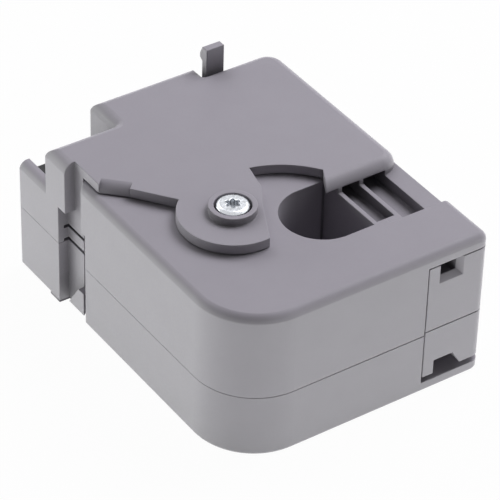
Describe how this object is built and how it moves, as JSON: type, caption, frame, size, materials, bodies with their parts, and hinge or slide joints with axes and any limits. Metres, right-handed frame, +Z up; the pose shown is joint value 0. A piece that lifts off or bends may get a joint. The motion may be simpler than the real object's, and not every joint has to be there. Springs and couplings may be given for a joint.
{
  "type": "split-core current switch",
  "caption": "Grey moulded split-core current switch: a hinged jaw with a rounded corner opens to take a conductor into a D-shaped window, with screw terminals at the back.",
  "frame": {"origin": "middle of the bounding box, on the flat underside that the switch lies on", "axes": "+X along the front face from the jaw's rounded corner to its lips, +Y from the front face to the terminals, +Z up along the hinge and the conductor"},
  "size_m": [0.057, 0.074, 0.0394],
  "materials": {
    "housing_plastic": "fine moulded texture, mid grey",
    "zinc_steel": "bright zinc plate",
    "brass": "plain turned brass",
    "core_steel": "ground edges of a lamination stack",
    "black_plastic": "moulded black",
    "copper_wire": "enamelled copper wire",
    "board": "green solder mask",
    "capacitor_sleeve": "shrunk plastic sleeve",
    "resistor_body": "lacquered film resistor",
    "suppressor_coat": "dipped epoxy coat"
  },
  "bodies": {
    "housing": {"housing_top": "housing_plastic", "housing_bottom": "housing_plastic", "hinge_screw": "zinc_steel", "hinge_sleeve": "zinc_steel", "hinge_insert": "brass", "fixed_core": "core_steel", "coil_bobbin": "black_plastic", "coil_winding": "copper_wire", "circuit_board": "board", "output_switch": "black_plastic", "rectifier": "black_plastic", "capacitor": "capacitor_sleeve", "resistors": "resistor_body", "surge_suppressor": "suppressor_coat", "terminal_block": "black_plastic", "terminal_clamps": "brass", "terminal_screws": "zinc_steel"},
    "jaw": {"jaw_top": "housing_plastic", "jaw_bottom": "housing_plastic", "jaw_core": "core_steel", "core_spring": "zinc_steel"}
  },
  "joints": [
    {"name": "jaw_hinge", "type": "hinge", "parent": "housing", "child": "jaw", "pos_m": [-0.0097, -0.0086, 0.016], "axis": [0, 0, -1], "range_deg": [0, 40]}
  ]
}
